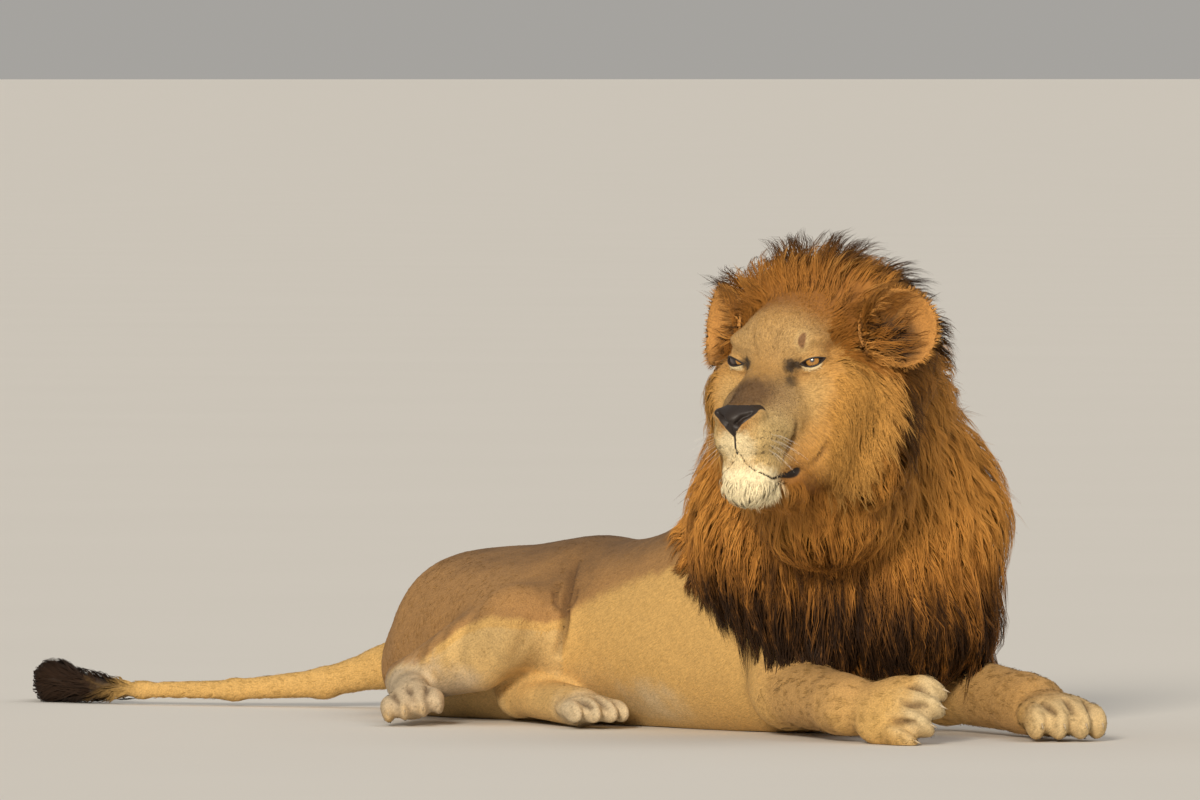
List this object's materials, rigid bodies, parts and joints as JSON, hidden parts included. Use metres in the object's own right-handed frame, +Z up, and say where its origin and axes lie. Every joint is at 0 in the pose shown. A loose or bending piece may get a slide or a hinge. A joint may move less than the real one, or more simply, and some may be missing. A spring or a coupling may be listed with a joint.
{
  "type": "lion",
  "caption": "Adult male lion lying on its belly and left hip, head up and turned to its right, full dark mane, as a still life-size model.",
  "frame": {"origin": "middle of the bottom of the lion's box, on the floor", "axes": "+X along the body towards the shoulders and forepaws, +Y to the lion's left, +Z up"},
  "size_m": [2.291, 0.7438, 0.7235],
  "materials": {
    "coat": "short tan-gold coat",
    "rump_coat": "short grey-brown coat",
    "pale_coat": "short pale coat",
    "face": "very short tan coat",
    "crown": "golden mane hair",
    "mane": "long dark brown mane hair",
    "tail_tuft": "blackish hair",
    "nose": "damp black-brown skin",
    "eye": "wet amber eye",
    "claw": "horn"
  },
  "bodies": {
    "root": {"head": "face", "mane_crown": "crown", "nose_leather": "nose", "eye_right": "eye", "eye_left": "eye", "ear_right": "crown", "ear_left": "crown", "neck": "mane", "trunk_chest": "coat", "trunk_loin": "coat", "trunk_rump": "rump_coat", "tail_base": "coat", "tail_middle": "coat", "tail_end": "coat", "tail_tuft": "tail_tuft", "foreleg_right_upper_arm": "coat", "foreleg_right_forearm": "coat", "foreleg_right_paw": "coat", "hindleg_right_shank": "pale_coat", "hindleg_right_metatarsus": "pale_coat", "hindleg_right_paw": "pale_coat", "hindleg_right_thigh": "rump_coat", "foreleg_left_upper_arm": "coat", "foreleg_left_forearm": "coat", "foreleg_left_paw": "coat", "hindleg_left_shank": "pale_coat", "hindleg_left_metatarsus": "pale_coat", "hindleg_left_paw": "pale_coat", "hindleg_left_thigh": "rump_coat"}
  },
  "joints": []
}
